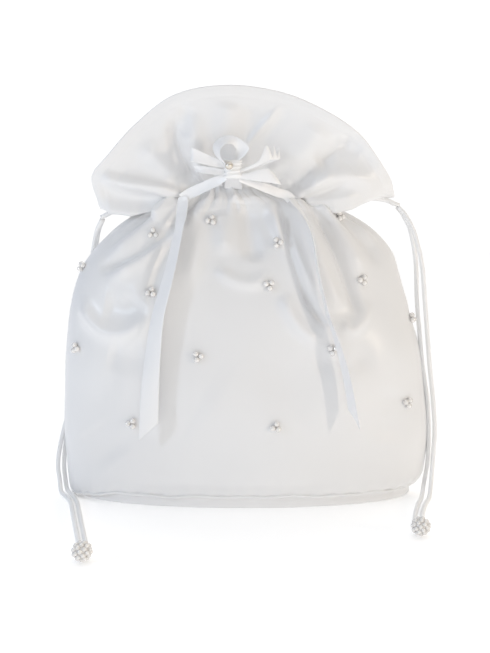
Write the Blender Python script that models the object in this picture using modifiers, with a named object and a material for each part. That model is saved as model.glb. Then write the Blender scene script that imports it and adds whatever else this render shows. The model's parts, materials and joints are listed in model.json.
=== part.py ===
"""White satin drawstring bag: a gathered pouch on a stiff oval base, with a wide frill above its
drawstring casing, two drawcords that end in pearl balls, a ribbon bow and sewn-on pearl clusters.

Lengths below are in millimetres and become metres when a mesh is written. The bag stands on its
base, its front faces -Y, and +X is to the right of a person who looks at the front.
"""

import math

import bmesh
import bpy
import numpy as np
from mathutils import Matrix, Vector

MM = 0.001
OBJECT_NAME = "satin_drawstring_bag"

# Driving dimensions
MID_PLANE_AT = (-0.6, 2.6)  # where the bag's side-seam plane stands, from the origin
SEAM_GAP = 0.4  # half the gap between a front piece and its back piece at the side seams
FABRIC = 1.2
LINING = 0.7
LINING_INSET = 2.5
BASE_TOP = 5.9
BASE_RINGS = ((0.5, 0.0), (0.87, 0.0), (0.94, 0.5), (0.98, 2.0), (1.0, BASE_TOP))  # share, height
BOARD = 1.5
BOARD_GAP = 0.4  # between the base panel, the board and the lining above it
BOARD_SHARE = 0.85  # of the base, and a little more for the lining over it
PIPING_RADIUS = 1.1
NECK_X = -5.5
NECK_HALF_WIDTH = 29.0
NECK_HALF_DEPTH = 11.6
CASING_BOTTOM = 155.4
CASING_HEIGHT = 8.0
CASING_DEPTH = 4.4
CASING_WALL = 0.7
CASING_STATIONS = 15
CASING_ENTRY = 0.62  # radians from a cord's own side to where its line joins the casing's ring
CASING_SLOT = 4.6  # half the opening that the cords leave by, at each side
CORD_DIAMETER = 2.4
CORD_SPACING = 7.0  # between the points of a cord's centreline
LEFT_CORD_Z = 161.1
RIGHT_CORD_Z = 157.8
FRILL_GAP = 0.6  # between the casing's top and the frill's lower edge, at the side seams
FRILL_LIFT = 1.6  # what that gap grows by at the front and the back, so that the frill can tip
FRILL_THICKNESS = 0.8
FACING_INSET = 1.7
FACING_RUN = (0.05, 0.9)  # where the facing starts along the frill, and its share of it
FACING_RISE = (0.04, 0.94)  # the same, from the casing to the hem
LINING_RUN = (0.01, 0.98)
LINING_RISE = (0.02, 0.95)
RIBBON_WIDTH = 10.0
TAIL_NECK_WIDTH = 5.0  # where a tail leaves the neck, bunched together
RIBBON_THICKNESS = 0.5
PEARL_RADIUS = 1.45
CLUSTER_SPACING = 1.5  # between the centres of a cluster's pearls, in pearl radii
CLUSTER_STAND_OFF = 0.35
BOW_PEARL_RADIUS = 2.0
BALL_RADIUS = 4.8
BALL_PEARL_RADIUS = 1.1
BALL_PEARLS = 32
FRILL_HINGE_Z = 150.0
FRILL_SEAM_GAP = 1.3  # half the gap between the frill's front and back, at the side seams

# Height, half-width to the left, half-width to the right and half-depth of the pouch
POUCH_STATIONS = (
    (6.3, 90.5, 89.5, 36.5),
    (14, 94.2, 95.4, 37.6),
    (30, 95.0, 96.4, 38.2),
    (52, 95.2, 95.6, 38.6),
    (78, 94.6, 92.2, 38.0),
    (100, 92.8, 86.2, 36.0),
    (118, 87.0, 81.4, 32.0),
    (130, 79.6, 77.6, 27.0),
    (140, 70.2, 69.6, 22.0),
    (148, 58.5, 57.0, 17.8),
    (152.5, 47.5, 42.0, 14.8),
    (155.0, 37.0, 27.5, 12.6),
)

# The frill's hem, from the left side seam over the front to the right side seam
HEM_POINTS = (
    (-75.2, -0.4, 151.6),
    (-77.0, -6.5, 157.5),
    (-78.0, -12.5, 168.8),
    (-69.8, -16.0, 178.8),
    (-55.0, -20.5, 194.4),
    (-35.0, -25.0, 208.6),
    (-9.5, -27.0, 213.2),
    (17.0, -26.5, 210.0),
    (38.5, -24.5, 202.0),
    (56.0, -20.5, 191.2),
    (68.0, -15.0, 177.6),
    (75.8, -8.0, 167.0),
    (79.0, -0.4, 158.0),
)

# The free cords, from under the frill's corners to their pearl balls
LEFT_PIVOT = (-74.5, 0.0, 147.5)
RIGHT_PIVOT = (80.0, 0.0, 154.0)
CORD_ROUTES = {
    "left_cord_outer": (
        (-74.9, -1.7, 146.9),
        (-78.5, 2.0, 140.0),
        (-81.5, 8.0, 128.0),
        (-84.9, 13.0, 112.0),
        (-87.6, 16.0, 94.0),
        (-89.9, 16.0, 76.0),
        (-92.7, 13.0, 58.0),
        (-96.0, 8.0, 42.0),
        (-99.0, 2.0, 28.0),
        (-100.3, -2.0, 16.0),
        (-98.8, -6.0, 8.0),
        (-97.2, -11.0, 2.8),
        (-93.0, -17.0, 1.3),
        (-89.6, -28.0, 1.3),
        (-86.4, -44.0, 1.3),
        (-83.2, -60.0, 1.3),
        (-79.8, -77.0, 1.3),
        (-76.6, -93.0, 1.4),
        (-74.0, -106.0, 1.8),
        (-72.4, -116.6, 3.4),
    ),
    "left_cord_inner": (
        (-74.9, 1.7, 146.9),
        (-78.0, 6.0, 140.0),
        (-80.5, 12.0, 128.0),
        (-83.4, 17.2, 112.0),
        (-86.0, 20.0, 94.0),
        (-88.2, 20.0, 76.0),
        (-91.0, 17.0, 58.0),
        (-94.2, 12.0, 43.0),
        (-96.8, 5.0, 28.0),
        (-97.4, 0.6, 16.0),
        (-96.4, -2.6, 8.0),
        (-94.6, -7.2, 3.0),
        (-90.6, -14.0, 1.3),
        (-86.6, -27.0, 1.3),
        (-83.4, -43.0, 1.3),
        (-80.2, -59.0, 1.3),
        (-76.8, -76.0, 1.3),
        (-73.6, -92.0, 1.4),
        (-71.0, -105.0, 1.8),
        (-69.2, -116.0, 3.4),
    ),
    "right_cord_outer": (
        (80.6, -1.7, 153.5),
        (84.5, -3.0, 149.0),
        (89.0, -4.5, 140.0),
        (93.0, -5.5, 124.0),
        (94.8, -6.0, 106.0),
        (96.2, -6.0, 90.0),
        (98.0, -6.0, 70.0),
        (100.0, -6.4, 52.0),
        (101.0, -7.4, 35.0),
        (100.0, -9.0, 19.0),
        (98.5, -13.0, 7.0),
        (96.5, -20.0, 1.8),
        (92.6, -32.0, 1.3),
        (89.2, -46.0, 1.3),
        (86.6, -60.0, 1.4),
        (84.6, -71.5, 1.8),
        (83.6, -78.4, 3.4),
    ),
    "right_cord_inner": (
        (80.6, 1.7, 153.5),
        (84.0, 1.5, 149.0),
        (88.0, 1.0, 140.0),
        (90.8, 0.0, 124.0),
        (91.4, -1.2, 106.0),
        (92.8, -1.4, 90.0),
        (94.9, -1.6, 70.0),
        (97.6, -2.0, 52.0),
        (98.6, -3.0, 35.0),
        (98.0, -5.2, 19.0),
        (95.4, -9.5, 7.0),
        (93.0, -17.5, 1.8),
        (89.4, -30.0, 1.3),
        (86.2, -44.0, 1.3),
        (83.4, -58.0, 1.4),
        (81.6, -70.5, 1.8),
        (80.6, -78.2, 3.4),
    ),
}
LEFT_BALL_AT = (-70.2, -124.0, 5.0)
RIGHT_BALL_AT = (82.0, -85.2, 5.0)

# Where each drawcord runs between the casing's side opening and the frill's corner
LEFT_LEAD = (
    (-73.9, -1.7, 148.1),
    (-70.0, -1.7, 149.2),
    (-63.0, -1.7, 150.9),
    (-55.0, -1.8, 153.0),
    (-47.0, -1.9, 155.7),
    (-41.0, -2.2, 158.4),
    (-36.6, -2.6, 160.4),
)
RIGHT_LEAD = (
    (79.4, -1.7, 154.4),
    (74.0, -1.7, 155.1),
    (65.0, -1.8, 155.4),
    (55.0, -1.9, 155.7),
    (44.0, -2.0, 156.3),
    (34.0, -2.2, 157.3),
    (26.2, -2.6, 157.8),
)

# The pearl clusters, as x and height; the first list is on the front and the second on the back
FRONT_CLUSTERS = (
    (-17, 145.5),
    (-47, 139),
    (48.5, 147),
    (17.5, 134.5),
    (-84, 121),
    (11.5, 114),
    (59, 116),
    (-47, 109.5),
    (87, 94),
    (-86, 80),
    (-23, 78.5),
    (43.8, 81),
    (83.5, 52.5),
    (-57.5, 44),
    (15.5, 43),
)
BACK_CLUSTERS = (
    (2, 144),
    (48, 136),
    (-34, 128),
    (16, 112),
    (-62, 102),
    (58, 90),
    (-20, 86),
    (28, 66),
    (-56, 56),
    (-4, 36),
    (60, 38),
)

# The bow: its loops as start, end, depth and width, and its bands as routes and across vectors
LOOPS = {
    "bow_loop_left": ((-11.4, -31.0, 175.6), (-26.5, -31.5, 179.2), 4.6, 6.5),
    "bow_loop_lower_left": ((-11.6, -29.2, 171.4), (-25.5, -27.0, 171.8), 3.0, 3.6),
    "bow_loop_right": ((0.6, -30.6, 173.8), (17.6, -30.6, 180.2), 5.0, 6.4),
    "bow_loop_lower_right": ((1.4, -30.8, 168.6), (18.6, -30.6, 166.4), 4.0, 5.8),
}
TOP_LOOP_AT = (-6.3, -35.6, 182.6)
TOP_LOOP_RADII = (9.0, 2.3)
TOP_LOOP_TURN = (-2.6, 2.9)
TOP_LOOP_WIDTH = 10.0
KNOT_SIZE = (9.4, 6.0, 9.6)
KNOT_AT = (-5.8, -31.0, 171.8)
KNOT_ROUNDING = 2.0
BOW_PEARL_AT = (-7.6, -36.3, 173.4)
BANDS = {
    "bow_band_left": (
        ((-11.4, -29.2, 166.8), (-18.6, -23.6, 163.6), (-26.2, -18.8, 161.2)),
        (0.25, 0.1, 1.0),
    ),
    "bow_band_right": (
        ((0.2, -27.2, 164.2), (9.6, -22.8, 162.4), (19.0, -18.2, 159.6)),
        (-0.2, 0.1, 1.0),
    ),
}
BAND_WIDTH = 4.6
BAND_SPACING = 3.0

# The bow's two tails: their routes as x and height, their turn from facing forward in degrees, and
# how far their inner edge stands off the pouch
TAIL_ROUTES = {
    "tail_left": (
        (-31.4, 158.4),
        (-32.0, 151.0),
        (-33.2, 141.7),
        (-37.6, 120.3),
        (-42.8, 98.9),
        (-45.7, 80.2),
        (-47.3, 61.5),
        (-48.4, 37.0),
    ),
    "tail_right": (
        (23.8, 157.2),
        (29.5, 149.6),
        (33.6, 139.0),
        (37.0, 119.0),
        (41.8, 99.8),
        (47.2, 84.4),
        (51.4, 67.0),
        (55.6, 43.0),
    ),
}
TAIL_TILTS = {
    "tail_left": (20, 48, 60, 54, 45, 34, 20, 8),
    "tail_right": (-20, -62, -80, -82, -78, -70, -64, -62),
}
TAIL_OFF = (1.9, 2.0, 2.4, 3.4, 3.6, 4.0, 4.8, 6.5)
TAIL_OPENS_OVER = 0.2  # the share of a tail in which it reaches its full width
TAIL_PIVOT_DEPTH = 16.6
TAIL_PIVOT_LIFT = 1.6


def clear_scene():
    for obj in list(bpy.data.objects):
        bpy.data.objects.remove(obj, do_unlink=True)


def make_material(name, colour, roughness, metallic=0.0):
    material = bpy.data.materials.new(name)
    material.use_nodes = True
    shader = material.node_tree.nodes["Principled BSDF"]
    shader.inputs["Base Color"].default_value = (*colour, 1.0)
    shader.inputs["Roughness"].default_value = roughness
    shader.inputs["Metallic"].default_value = metallic
    return material


def spline(knots, t, first=None, last=None):
    """The point at t, from 0 to 1, on the Catmull-Rom curve through the knots."""
    rows = np.asarray(knots, float)
    before = 2 * rows[0] - rows[1] if first is None else np.asarray(first, float)
    after = 2 * rows[-1] - rows[-2] if last is None else np.asarray(last, float)
    rows = np.vstack([before, rows, after])
    spans = len(rows) - 3
    at = min(max(t, 0.0), 1.0) * spans
    i = min(int(at), spans - 1)
    f = at - i
    p0, p1, p2, p3 = rows[i : i + 4]
    return 0.5 * (
        2 * p1
        + (p2 - p0) * f
        + (2 * p0 - 5 * p1 + 4 * p2 - p3) * f**2
        + (3 * p1 - p0 - 3 * p2 + p3) * f**3
    )


def even_points(knots, spacing):
    """Points about this far apart on the smooth curve through the knots."""
    fine = np.array([spline(knots, t) for t in np.linspace(0, 1, 40 * len(knots))])
    steps = np.linalg.norm(np.diff(fine, axis=0), axis=1)
    along = np.concatenate([[0], np.cumsum(steps)])
    stops = np.linspace(0, along[-1], max(2, round(along[-1] / spacing) + 1))
    return np.column_stack([np.interp(stops, along, fine[:, k]) for k in range(3)])


def add_object(name, data, material, parent):
    obj = bpy.data.objects.new(name, data)
    PARTS.objects.link(obj)
    if material is not None:
        data.materials.append(material)
    obj.parent = parent
    obj.matrix_parent_inverse = parent.matrix_world.inverted() @ BAG.matrix_world
    return obj


def add_empty(name, at):
    empty = bpy.data.objects.new(name, None)
    empty.empty_display_size = 0.01
    PARTS.objects.link(empty)
    empty.location = Vector(at) * MM
    return empty


def joint_axis(name, at):
    """An empty on a joint's axis, which the moving pieces hang from."""
    empty = add_empty(name, at)
    empty.parent = BAG
    bpy.context.view_layer.update()
    return empty


def mesh_of(name, points, faces):
    mesh = bpy.data.meshes.new(name)
    mesh.from_pydata([Vector(p) * MM for p in points], [], faces)
    mesh.update()
    mesh.shade_smooth()
    mesh.set_sharp_from_angle(angle=math.radians(50))
    return mesh


def solidify(obj, thickness, offset=-1.0):
    modifier = obj.modifiers.new("Thickness", "SOLIDIFY")
    modifier.thickness = thickness * MM
    modifier.offset = offset
    modifier.use_even_offset = True


def sheet(name, surface, columns, rows, thickness, material, parent, offset=-1.0):
    """A shell whose outer face is surface(u, v), with u along it and v up it, both 0 to 1."""
    points = [surface(i / columns, j / rows) for j in range(rows + 1) for i in range(columns + 1)]
    wide = columns + 1
    faces = [
        (j * wide + i, j * wide + i + 1, (j + 1) * wide + i + 1, (j + 1) * wide + i)
        for j in range(rows)
        for i in range(columns)
    ]
    obj = add_object(name, mesh_of(name, points, faces), material, parent)
    solidify(obj, thickness, offset)
    return obj


def inset(surface, distance):
    """The surface moved this far inwards, square to itself."""
    step = 0.004

    def moved(u, v):
        u0, u1 = max(u - step, 0), min(u + step, 1)
        v0, v1 = max(v - step, 0), min(v + step, 1)
        along = np.subtract(surface(u1, v), surface(u0, v))
        up = np.subtract(surface(u, v1), surface(u, v0))
        outward = np.cross(along, up)
        return np.asarray(surface(u, v)) - distance * outward / np.linalg.norm(outward)

    return moved


def share(surface, u, v, run, rise):
    """The point at (u, v) of a piece cut from the surface, given as (start, share) each way."""
    return surface(run[0] + run[1] * u, rise[0] + rise[1] * v)


def pouch_surface(back):
    """The pouch's outer face: u runs round one half from seam to seam, and v from base to neck."""

    def surface(u, v):
        height, left, right, depth = spline(POUCH_STATIONS, v)
        clear = math.asin(SEAM_GAP / depth)
        angle = (0 if back else math.pi) + clear + u * (math.pi - 2 * clear)
        half = (left + right) / 2
        return ((right - left) / 2 + half * math.cos(angle), depth * math.sin(angle), height)

    return surface


def pouch_depth(x, height):
    """How far the pouch's front face stands from the mid-plane, at this x and height."""
    rows = np.array([spline(POUCH_STATIONS, t) for t in np.linspace(0, 1, 200)])
    left, right, depth = (np.interp(height, rows[:, 0], rows[:, k]) for k in (1, 2, 3))
    across = (x - (right - left) / 2) / ((left + right) / 2)
    return depth * math.sqrt(max(0.0, 1 - across**2))


def neck_point(angle, half_width, half_depth, height):
    return (NECK_X + half_width * math.cos(angle), half_depth * math.sin(angle), height)


def hem_point(u):
    """The hem over the front, with each end square to the side-seam plane."""
    first = Vector(HEM_POINTS[1]) * Vector((1, -1, 1))
    last = Vector(HEM_POINTS[-2]) * Vector((1, -1, 1))
    return spline(HEM_POINTS, u, first, last)


def frill_surface(back):
    """The frill's outer face: v runs from the casing to the hem."""

    def surface(u, v):
        angle = math.pi + u * math.pi
        lift = FRILL_GAP + FRILL_LIFT * abs(math.sin(angle))
        neck_z = CASING_BOTTOM + CASING_HEIGHT + lift
        neck = np.array(neck_point(angle, NECK_HALF_WIDTH + 0.6, NECK_HALF_DEPTH + 0.4, neck_z))
        neck[1] = min(neck[1], -FRILL_SEAM_GAP)
        hem = hem_point(u)
        hem[1] = min(hem[1], -FRILL_SEAM_GAP)
        return neck + (hem - neck) * v

    def mirrored(u, v):
        x, y, z = surface(1 - u, v)
        return (x, -y, z)

    return mirrored if back else surface


def add_pouch():
    for side, back in (("front", False), ("back", True)):
        outer = pouch_surface(back)
        sheet(f"body_{side}", outer, 20, 13, FABRIC, SATIN, BAG)
        inner = inset(lambda u, v, s=outer: share(s, u, v, LINING_RUN, LINING_RISE), LINING_INSET)
        sheet(f"lining_{side}", inner, 14, 8, LINING, LINING_CLOTH, BAG)


def base_ellipse(scale, height, segments=48, grow=0.0):
    _, left, right, depth = POUCH_STATIONS[0]
    half, centre = (left + right) / 2 + grow, (right - left) / 2
    turns = [2 * math.pi * i / segments for i in range(segments)]
    return [
        (centre + scale * half * math.cos(a), scale * (depth + grow) * math.sin(a), height)
        for a in turns
    ]


def add_base():
    segments = 48
    points = [(0.0, 0.0, 0.0)]
    for ring_share, height in BASE_RINGS:
        points += base_ellipse(ring_share, height, segments)
    faces = [(0, 1 + (i + 1) % segments, 1 + i) for i in range(segments)]
    for ring in range(len(BASE_RINGS) - 1):
        low, high = 1 + ring * segments, 1 + (ring + 1) * segments
        for i in range(segments):
            j = (i + 1) % segments
            faces.append((low + i, low + j, high + j, high + i))
    panel = add_object("base_panel", mesh_of("base_panel", points, faces), SATIN, BAG)
    solidify(panel, FABRIC)
    flat_plate("base_board", BOARD_SHARE, FABRIC + BOARD_GAP, BOARD, BOARD_CARD)
    over_board = FABRIC + BOARD + 2 * BOARD_GAP
    flat_plate("lining_base", BOARD_SHARE + 0.01, over_board, LINING, LINING_CLOTH)
    piping = base_ellipse(1.0, BASE_TOP - 0.3, 40, PIPING_RADIUS + 0.9)
    tube("base_piping", piping, 2 * PIPING_RADIUS, SATIN, BAG, closed=True)


def flat_plate(name, scale, bottom, thickness, material):
    """An oval plate that lies inside the base."""
    outline = base_ellipse(scale, 0.0)
    curve = bpy.data.curves.new(name, "CURVE")
    curve.dimensions = "2D"
    curve.fill_mode = "BOTH"
    curve.extrude = thickness / 2 * MM
    line = curve.splines.new("POLY")
    line.points.add(len(outline) - 1)
    for point, (x, y, _) in zip(line.points, outline):
        point.co = (x * MM, y * MM, 0.0, 1.0)
    line.use_cyclic_u = True
    plate = add_object(name, curve, material, BAG)
    plate.location.z = (bottom + thickness / 2) * MM


def tube(name, points, diameter, material, parent, closed=False):
    curve = bpy.data.curves.new(name, "CURVE")
    curve.dimensions = "3D"
    curve.bevel_depth = diameter / 2 * MM
    curve.bevel_resolution = 2
    curve.use_fill_caps = not closed
    line = curve.splines.new("POLY")
    line.points.add(len(points) - 1)
    for point, at in zip(line.points, points):
        point.co = (*(Vector(at) * MM), 1.0)
    line.use_cyclic_u = closed
    line.use_smooth = True
    return add_object(name, curve, material, parent)


def casing_line(start, end, count, height=CASING_BOTTOM + CASING_HEIGHT / 2):
    """Points on the middle of the casing, between two angles."""
    half_width = NECK_HALF_WIDTH - CASING_DEPTH / 2
    half_depth = NECK_HALF_DEPTH - CASING_DEPTH / 2
    angles = np.linspace(start, end, count)
    return [neck_point(a, half_width, half_depth, height) for a in angles]


def casing_profile(depth, height):
    """A rounded box, as (outward, up) pairs that turn one way."""
    w, h, r = depth / 2, height / 2, min(depth, height) / 4
    right_and_top = [(w, r - h), (w, h - r), (w - r, h), (r - w, h)]
    return right_and_top + [(-outward, -up) for outward, up in right_and_top]


def add_casing():
    """Half-rings of doubled cloth, hollow from end to end, for the drawcords to run in."""
    slot = math.asin(CASING_SLOT / (NECK_HALF_DEPTH - CASING_DEPTH / 2))
    outer = casing_profile(CASING_DEPTH, CASING_HEIGHT)
    inner = casing_profile(CASING_DEPTH - 2 * CASING_WALL, CASING_HEIGHT - 2 * CASING_WALL)
    sides = len(outer)
    for side, start in (("front", math.pi), ("back", 0.0)):
        line = casing_line(start + slot, start + math.pi - slot, CASING_STATIONS)
        points = []
        for i, at in enumerate(line):
            ahead = Vector(line[min(i + 1, CASING_STATIONS - 1)]) - Vector(line[max(i - 1, 0)])
            outward = ahead.cross(Vector((0, 0, 1))).normalized()
            for profile in (outer, inner):
                points += [Vector(at) + outward * o + Vector((0, 0, u)) for o, u in profile]
        faces = []
        for i in range(len(line) - 1):
            here, there = i * 2 * sides, (i + 1) * 2 * sides
            slot_here, slot_there = here + sides, there + sides
            for k in range(sides):
                m = (k + 1) % sides
                faces.append((here + k, there + k, there + m, here + m))
                faces.append((slot_here + k, slot_here + m, slot_there + m, slot_there + k))
        last = (len(line) - 1) * 2 * sides
        for k in range(sides):
            m = (k + 1) % sides
            faces.append((k, m, sides + m, sides + k))
            faces.append((last + k, last + sides + k, last + sides + m, last + m))
        add_object(f"casing_{side}", mesh_of(f"casing_{side}", points, faces), SATIN, BAG)


def add_drawcord(name, lead, height, start):
    """One cord from the frill's corner, through the whole casing and back to the same corner."""
    first, last = start + CASING_ENTRY, start + 2 * math.pi - CASING_ENTRY
    ring = casing_line(first, last, 17, height)
    front_first = ring if start == math.pi else ring[::-1]
    back_lead = [(x, -y, z) for x, y, z in reversed(lead)]
    points = even_points([*lead, *front_first, *back_lead], CORD_SPACING)
    tube(name, points, CORD_DIAMETER, CORD, BAG)


def add_frill():
    for side, back in (("front", False), ("back", True)):
        axis = joint_axis(f"frill_{side}_axis", (0, 0, FRILL_HINGE_Z))
        outer = frill_surface(back)
        sheet(f"frill_{side}", outer, 24, 3, FRILL_THICKNESS, SATIN, axis)
        inner = inset(lambda u, v, s=outer: share(s, u, v, FACING_RUN, FACING_RISE), FACING_INSET)
        sheet(f"frill_{side}_facing", inner, 20, 2, FRILL_THICKNESS, SATIN, axis)


def ribbon(name, line, across, widths, material, parent):
    """A flat ribbon along the line, whose width at each point lies along the vectors of across."""
    line = [Vector(p) for p in line]
    across = [Vector(a).normalized() for a in across]

    def surface(u, v):
        i = round(u * (len(line) - 1))
        return line[i] + across[i] * widths[i] * (v - 0.5)

    return sheet(name, surface, len(line) - 1, 2, RIBBON_THICKNESS, material, parent, 0.0)


def add_loop(name, start, end, depth, width):
    """A loop of ribbon that leaves the knot at start, turns round at end and comes back."""
    start, end = Vector(start), Vector(end)
    out = end - start
    open_way = out.cross(Vector((0, 0, 1))).normalized()
    across = open_way.cross(out).normalized()
    turns = np.linspace(0.07, 0.93, 15)
    line = [
        start + out * math.sin(math.pi * t) + open_way * depth * 0.5 * math.sin(2 * math.pi * t)
        for t in turns
    ]
    ribbon(name, line, [across] * len(line), [width] * len(line), RIBBON, BAG)


def add_bow():
    for name, (start, end, depth, width) in LOOPS.items():
        add_loop(name, start, end, depth, width)
    x, y, z = TOP_LOOP_AT
    top = [
        (x + TOP_LOOP_RADII[0] * math.cos(a), y + TOP_LOOP_RADII[1] * math.sin(a), z)
        for a in np.linspace(*TOP_LOOP_TURN, 17)
    ]
    upright = [(0, 0, 1)] * len(top)
    ribbon("bow_loop_top", top, upright, [TOP_LOOP_WIDTH] * len(top), RIBBON, BAG)
    bpy.ops.mesh.primitive_cube_add(size=1.0)
    knot = bpy.context.active_object
    knot.data.transform(Matrix.Diagonal((*(Vector(KNOT_SIZE) * MM), 1.0)))
    place_primitive(knot, "bow_knot", KNOT_AT, RIBBON)
    bevel = knot.modifiers.new("Rounding", "BEVEL")
    bevel.width = KNOT_ROUNDING * MM
    bevel.segments = 3
    bpy.ops.mesh.primitive_uv_sphere_add(segments=12, ring_count=8, radius=BOW_PEARL_RADIUS * MM)
    pearl = bpy.context.active_object
    place_primitive(pearl, "bow_pearl", BOW_PEARL_AT, PEARL)
    pearl.data.shade_smooth()
    for name, (route, across) in BANDS.items():
        line = even_points(route, BAND_SPACING)
        count = len(line)
        ribbon(name, line, [across] * count, [BAND_WIDTH] * count, RIBBON, BAG)


def place_primitive(obj, name, at, material):
    """Gives a primitive its name, material and place, in the parts collection."""
    for owner in list(obj.users_collection):
        owner.objects.unlink(obj)
    PARTS.objects.link(obj)
    obj.name = name
    obj.data.name = name
    obj.data.materials.append(material)
    obj.parent = BAG
    obj.location = Vector(at) * MM


def add_tails():
    """The two free ends of the bow's ribbon, each of which lifts about the neck."""
    for name, route in TAIL_ROUTES.items():
        pivot = (route[0][0], -TAIL_PIVOT_DEPTH, route[0][1] + TAIL_PIVOT_LIFT)
        axis = joint_axis(f"{name}_axis", pivot)
        tilts = TAIL_TILTS[name]
        knots = np.linspace(0, 1, len(tilts))
        line, across, widths = [], [], []
        for t in np.linspace(0, 1, 29):
            x, height = spline(route, t)
            tilt = math.radians(float(np.interp(t, knots, tilts)))
            opened = min(1.0, t / TAIL_OPENS_OVER)
            width = TAIL_NECK_WIDTH + (RIBBON_WIDTH - TAIL_NECK_WIDTH) * opened
            rise = float(np.interp(t, knots, TAIL_OFF)) + width / 2 * abs(math.sin(tilt))
            hang = TAIL_PIVOT_DEPTH + rise * 0.3
            line.append((x, -max(pouch_depth(x, height) + rise, hang), height))
            across.append((math.cos(tilt), -math.sin(tilt), 0.1))
            widths.append(width)
        ribbon(name, line, across, widths, RIBBON, axis)


def pearl_cluster_mesh():
    """Three pearls that touch, joined into one closed mesh, around the cluster's centre."""
    pearls = []
    for i in range(3):
        bpy.ops.mesh.primitive_ico_sphere_add(subdivisions=1, radius=PEARL_RADIUS * MM)
        pearl = bpy.context.active_object
        turn = 2 * math.pi * i / 3
        apart = CLUSTER_SPACING * PEARL_RADIUS / math.sqrt(3) * MM
        pearl.location = (apart * math.cos(turn), apart * math.sin(turn), 0)
        pearls.append(pearl)
    for other in pearls[1:]:
        join = pearls[0].modifiers.new("Join", "BOOLEAN")
        join.operation = "UNION"
        join.object = other
    bpy.context.view_layer.update()
    graph = bpy.context.evaluated_depsgraph_get()
    mesh = bpy.data.meshes.new_from_object(pearls[0].evaluated_get(graph))
    mesh.transform(pearls[0].matrix_world)
    mesh.name = "pearl_cluster"
    mesh.materials.clear()
    mesh.materials.append(PEARL)
    mesh.shade_smooth()
    for pearl in pearls:
        bpy.data.objects.remove(pearl, do_unlink=True)
    return mesh


def add_clusters():
    mesh = pearl_cluster_mesh()
    for side, sign, places in (("front", -1, FRONT_CLUSTERS), ("back", 1, BACK_CLUSTERS)):
        for number, (x, height) in enumerate(places, 1):
            step = 0.5
            depth = pouch_depth(x, height)
            slope_x = (pouch_depth(x + step, height) - pouch_depth(x - step, height)) / (2 * step)
            slope_z = (pouch_depth(x, height + step) - pouch_depth(x, height - step)) / (2 * step)
            outward = Vector((-slope_x, sign, -slope_z)).normalized()
            at = Vector((x, sign * depth, height)) + outward * (PEARL_RADIUS + CLUSTER_STAND_OFF)
            cluster = add_object(f"pearls_{side}_{number:02d}", mesh, None, BAG)
            turn = Matrix.Rotation(2.4 * number, 4, "Z")
            facing = outward.to_track_quat("Z", "Y").to_matrix().to_4x4()
            cluster.matrix_local = Matrix.Translation(at * MM) @ facing @ turn


def add_ball(name, at, axis):
    """A core covered with pearls, as one surface that stands as far out as its furthest pearl."""
    reach = BALL_RADIUS - BALL_PEARL_RADIUS
    pearls = []
    for i in range(BALL_PEARLS):
        height = 1 - 2 * (i + 0.5) / BALL_PEARLS
        turn = math.pi * (3 - math.sqrt(5)) * i
        flat = math.sqrt(1 - height**2)
        pearls.append(Vector((flat * math.cos(turn), flat * math.sin(turn), height)) * reach)
    bm = bmesh.new()
    bmesh.ops.create_icosphere(bm, subdivisions=3, radius=1.0)
    for vertex in bm.verts:
        way = vertex.co.normalized()
        furthest = reach
        for pearl in pearls:
            along = way.dot(pearl)
            inside = BALL_PEARL_RADIUS**2 - (pearl.length_squared - along**2)
            if inside > 0:
                furthest = max(furthest, along + math.sqrt(inside))
        vertex.co = way * furthest * MM
    mesh = bpy.data.meshes.new(name)
    bm.to_mesh(mesh)
    bm.free()
    mesh.shade_smooth()
    ball = add_object(name, mesh, PEARL, axis)
    ball.matrix_parent_inverse = Matrix()
    ball.location = (0, 0, 0)
    return ball


def add_free_cords():
    sides = (("left", LEFT_PIVOT, LEFT_BALL_AT), ("right", RIGHT_PIVOT, RIGHT_BALL_AT))
    for side, pivot, ball_at in sides:
        swing = joint_axis(f"{side}_cord_swing_axis", pivot)
        for strand in ("outer", "inner"):
            name = f"{side}_cord_{strand}"
            points = even_points(CORD_ROUTES[name], CORD_SPACING)
            tube(name, points, CORD_DIAMETER, CORD, swing)
        pull = joint_axis(f"{side}_cord_pull_axis", ball_at)
        add_ball(f"{side}_ball", ball_at, pull)


clear_scene()
PARTS = bpy.data.collections.new(OBJECT_NAME)
bpy.context.scene.collection.children.link(PARTS)
BAG = add_empty("bag_mid_plane", (*MID_PLANE_AT, 0.0))
bpy.context.view_layer.update()
SATIN = make_material("white_satin", (0.93, 0.93, 0.94), 0.38)
LINING_CLOTH = make_material("white_lining", (0.88, 0.88, 0.88), 0.6)
RIBBON = make_material("white_ribbon", (0.94, 0.94, 0.95), 0.32)
CORD = make_material("white_cord", (0.95, 0.95, 0.95), 0.4)
PEARL = make_material("pearl", (0.9, 0.89, 0.87), 0.18)
BOARD_CARD = make_material("base_board", (0.8, 0.79, 0.76), 0.8)
add_pouch()
add_base()
add_casing()
add_drawcord("left_drawcord", LEFT_LEAD, LEFT_CORD_Z, math.pi)
add_drawcord("right_drawcord", RIGHT_LEAD, RIGHT_CORD_Z, 0.0)
add_frill()
add_bow()
add_tails()
add_clusters()
add_free_cords()
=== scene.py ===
"""The looks of a white satin drawstring bag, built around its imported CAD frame.

Shapes are worked out in millimetres from the bag's mid-plane; place() puts them in the frame.
"""

import json
import math

import bmesh
import bpy
import numpy as np
from mathutils import Matrix, Vector


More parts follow.
